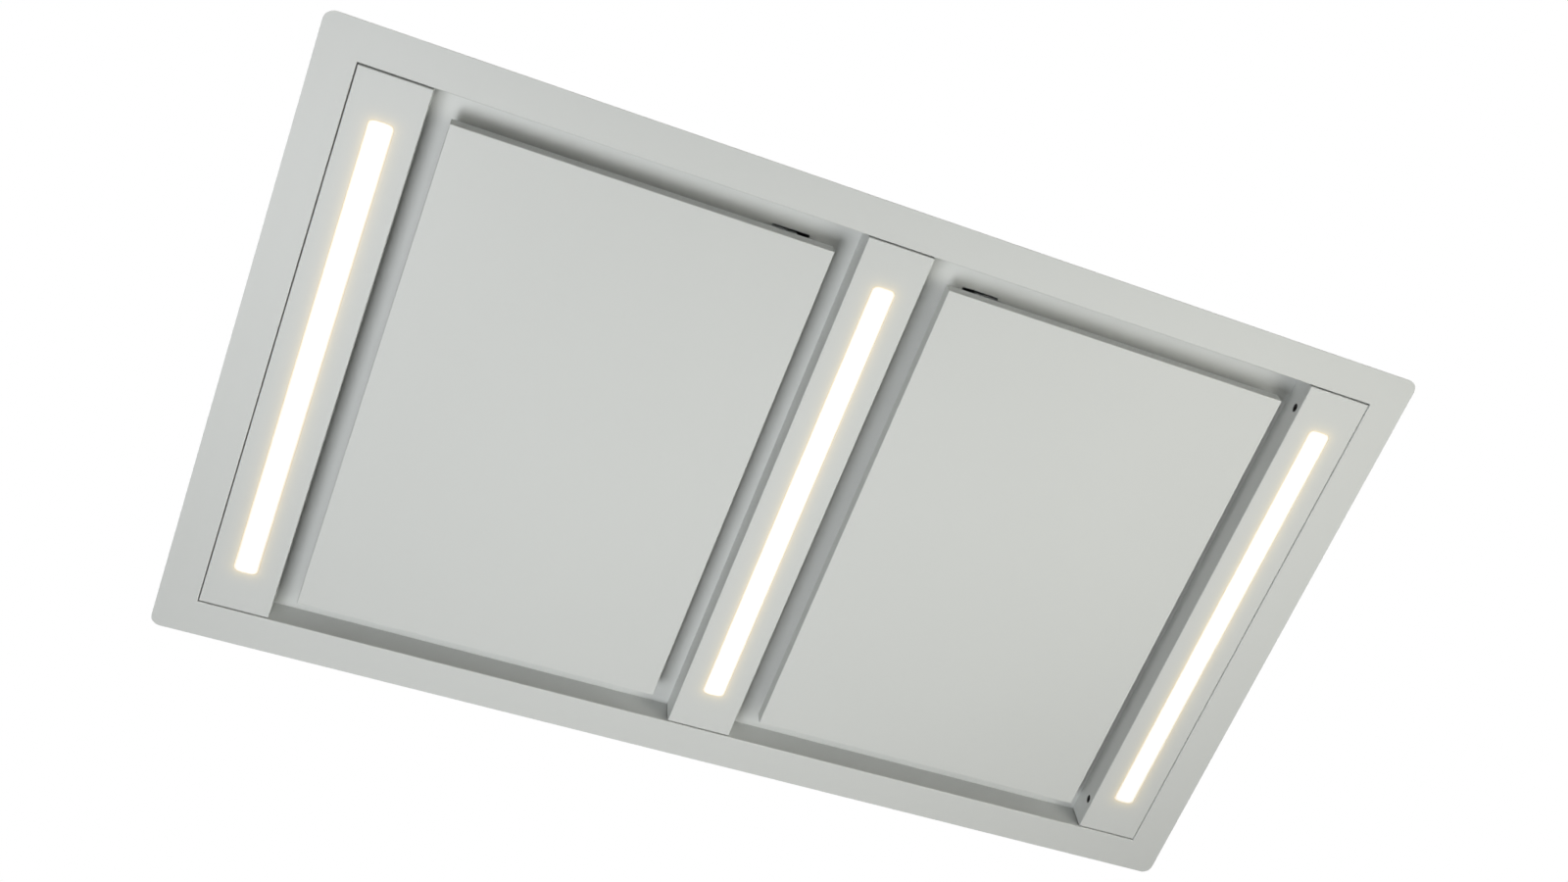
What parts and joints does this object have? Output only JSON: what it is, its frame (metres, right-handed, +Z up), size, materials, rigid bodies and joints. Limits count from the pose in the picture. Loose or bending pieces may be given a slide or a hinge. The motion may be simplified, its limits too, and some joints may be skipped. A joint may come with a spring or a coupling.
{
  "type": "ceiling range hood",
  "caption": "Flush ceiling range hood: hinged perimeter-suction panels between light strips in a painted rim, over a casing with a centrifugal blower and a side duct collar.",
  "frame": {"origin": "centre of the visible underside, in the plane of the painted rim's lower face", "axes": "+X along the long side towards the duct collar, +Y along the short side, +Z up into the ceiling"},
  "size_m": [1.2, 0.7, 0.29],
  "materials": {
    "white_paint": "satin white powder coat",
    "galvanised_steel": "galvanised sheet",
    "bright_steel": "zinc-plated steel",
    "dark_steel": "blackened steel",
    "bare_aluminium": "mill finish",
    "cast_aluminium": "as cast",
    "opal_plastic": "opal, lit from behind",
    "black_plastic": "moulded",
    "grey_plastic": "moulded",
    "white_plastic": "moulded",
    "board_green": "solder mask",
    "board_white": "white solder mask",
    "core_steel": "laminated core with windings",
    "bearing_steel": "ground",
    "black_rubber": "matt",
    "cable_sheath": "smooth"
  },
  "bodies": {
    "hood_body": {"base_pan": "white_paint", "blower_screws": "bright_steel", "cable_gland": "black_plastic", "capacitor": "white_plastic", "casing_screws": "bright_steel", "center_led_channel": "bare_aluminium", "center_led_lens": "opal_plastic", "center_light_cover": "white_paint", "control_board": "board_green", "control_box": "grey_plastic", "control_box_lid": "grey_plastic", "cover_brackets": "galvanised_steel", "cover_screws": "dark_steel", "damper_pin": "bright_steel", "duct_collar": "black_plastic", "face_frame": "white_paint", "inlet_ring": "galvanised_steel", "led_boards": "board_white", "led_driver": "white_plastic", "led_looms": "cable_sheath", "left_catch_magnets": "black_plastic", "left_filter_frame": "bare_aluminium", "left_filter_mesh": "bare_aluminium", "left_hinge_arms": "galvanised_steel", "left_latch_spring": "bright_steel", "left_led_channel": "bare_aluminium", "left_led_lens": "opal_plastic", "left_light_cover": "white_paint", "motor_bearings": "bearing_steel", "motor_box": "galvanised_steel", "motor_bushes": "black_rubber", "motor_housing": "cast_aluminium", "motor_loom": "cable_sheath", "motor_stator": "core_steel", "pan_rivets": "bare_aluminium", "plenum_casing": "galvanised_steel", "right_catch_magnets": "black_plastic", "right_filter_frame": "bare_aluminium", "right_filter_mesh": "bare_aluminium", "right_hinge_arms": "galvanised_steel", "right_latch_spring": "bright_steel", "right_led_channel": "bare_aluminium", "right_led_lens": "opal_plastic", "right_light_cover": "white_paint", "scroll_cover": "galvanised_steel", "scroll_housing": "galvanised_steel", "suspension_brackets": "galvanised_steel"},
    "left_panel": {"left_panel": "white_paint", "left_panel_brackets": "galvanised_steel", "left_hinge_pins": "bright_steel"},
    "right_panel": {"right_panel": "white_paint", "right_panel_brackets": "galvanised_steel", "right_hinge_pins": "bright_steel"},
    "fan_rotor": {"impeller": "galvanised_steel", "motor_shaft": "bright_steel", "motor_rotor": "core_steel"},
    "front_damper_flap": {"front_damper_flap": "black_plastic"},
    "rear_damper_flap": {"rear_damper_flap": "black_plastic"},
    "left_filter_latch": {"left_filter_latch": "black_plastic"},
    "right_filter_latch": {"right_filter_latch": "black_plastic"}
  },
  "joints": [
    {"name": "left_panel_hinge", "type": "hinge", "parent": "hood_body", "child": "left_panel", "pos_m": [-0.0858, 0, 0.007], "axis": [0, -1, 0], "range_deg": [0, 90]},
    {"name": "right_panel_hinge", "type": "hinge", "parent": "hood_body", "child": "right_panel", "pos_m": [0.0858, 0, 0.007], "axis": [0, 1, 0], "range_deg": [0, 90]},
    {"name": "fan_spin", "type": "hinge", "parent": "hood_body", "child": "fan_rotor", "pos_m": [-0.0318, -0.0398, 0.185], "axis": [0, 0, 1], "continuous": true},
    {"name": "front_damper_hinge", "type": "hinge", "parent": "hood_body", "child": "front_damper_flap", "pos_m": [0.236, 0.0912, 0.185], "axis": [0, 0, 1], "range_deg": [0, 80]},
    {"name": "rear_damper_hinge", "type": "hinge", "parent": "hood_body", "child": "rear_damper_flap", "pos_m": [0.236, 0.0912, 0.185], "axis": [0, 0, -1], "range_deg": [0, 80]},
    {"name": "left_latch_slide", "type": "slide", "parent": "hood_body", "child": "left_filter_latch", "axis": [1, 0, 0], "range_m": [0, 0.006], "stiffness_N_per_m": 300, "springref_m": -0.004, "deforming": ["left_latch_spring"]},
    {"name": "right_latch_slide", "type": "slide", "parent": "hood_body", "child": "right_filter_latch", "axis": [-1, 0, 0], "range_m": [0, 0.006], "stiffness_N_per_m": 300, "springref_m": -0.004, "deforming": ["right_latch_spring"]}
  ]
}
